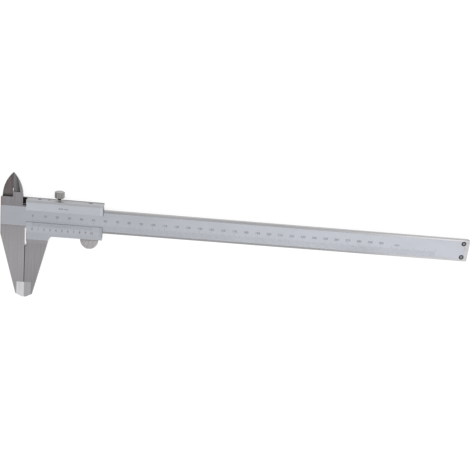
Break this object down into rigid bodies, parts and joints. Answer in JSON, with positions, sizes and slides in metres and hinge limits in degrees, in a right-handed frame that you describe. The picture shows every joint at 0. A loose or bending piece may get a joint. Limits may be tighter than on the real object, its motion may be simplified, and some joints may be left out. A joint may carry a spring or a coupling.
{
  "type": "vernier caliper",
  "caption": "Sliding vernier caliper with a graduated beam, outside jaws, crossed inside jaws, a depth bar, a gib and a knurled locking screw.",
  "frame": {"origin": "on the zero line of the main scale at the beam's lower guide edge, in the plane of the slider's back, jaws closed", "axes": "+X along the beam towards its far end, equal to the main-scale reading; +Y from the outside jaws towards the inside jaws; +Z out of the graduated face"},
  "size_m": [0.4066, 0.1096, 0.0095],
  "materials": {
    "satin_steel": "satin chrome, glare-free, with ground rails and jaw faces",
    "ground_steel": "fine ground, hardened",
    "knurled_steel": "bright, straight knurled",
    "bronze_strip": "rolled spring strip",
    "dark_screws": "blackened, slotted"
  },
  "bodies": {
    "beam": {"main_beam": "satin_steel", "stopper_plate": "ground_steel", "stopper_screw_upper": "dark_screws", "stopper_screw_lower": "dark_screws"},
    "slider": {"slider": "satin_steel", "gib": "bronze_strip", "gib_pressing_screw_left": "dark_screws", "gib_pressing_screw_right": "dark_screws", "gib_setting_screw": "dark_screws", "depth_bar": "ground_steel", "depth_bar_pin_left": "ground_steel", "depth_bar_pin_right": "ground_steel"},
    "locking_screw": {"locking_screw": "knurled_steel"}
  },
  "joints": [
    {"name": "slider_travel", "type": "slide", "parent": "beam", "child": "slider", "axis": [1, 0, 0], "range_m": [0, 0.31]},
    {"name": "locking_screw_turn", "type": "hinge", "parent": "slider", "child": "locking_screw", "pos_m": [0.0211, 0.0251, 0.00465], "axis": [0, 1, 0], "range_deg": [-180, 180]}
  ]
}
